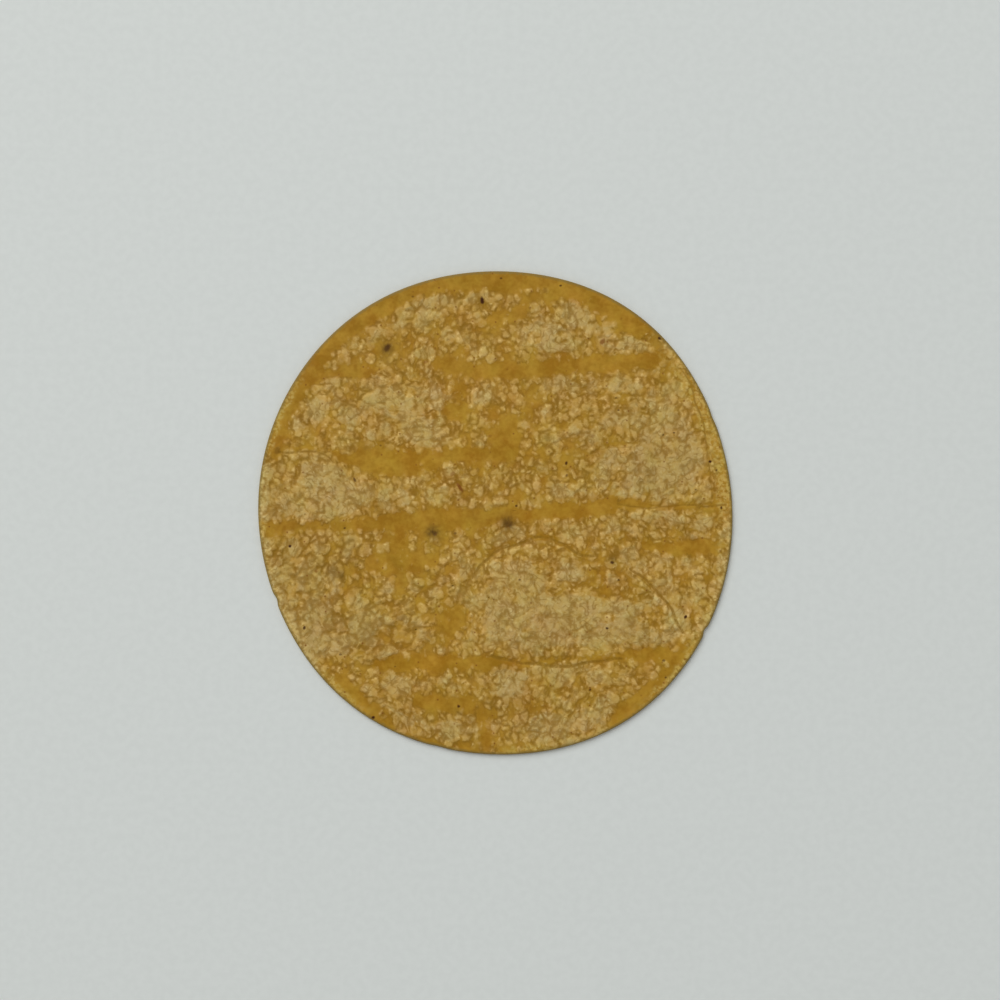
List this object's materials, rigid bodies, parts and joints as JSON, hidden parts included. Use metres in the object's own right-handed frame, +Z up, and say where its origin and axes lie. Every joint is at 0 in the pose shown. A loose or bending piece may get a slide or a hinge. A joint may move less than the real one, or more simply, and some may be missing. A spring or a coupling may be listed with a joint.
{
  "type": "corn tortilla",
  "caption": "Thin, slightly oval corn tortilla lying flat, with a rounded rim, a pebbled toasted face crossed by smooth bands and a shallow puffed pocket; bread to fill, fold or stack.",
  "frame": {"origin": "middle of the underside, on the surface that the tortilla lies on", "axes": "+Z up out of the toasted face, +Y towards the far edge of the picture, along the longer diameter, and +X to the right"},
  "size_m": [0.1478, 0.1506, 0.0025],
  "materials": {
    "toasted_corn_dough": "toasted golden corn dough with pale blistered skin, satin to matte"
  },
  "bodies": {
    "root": {"tortilla": "toasted_corn_dough"}
  },
  "joints": []
}
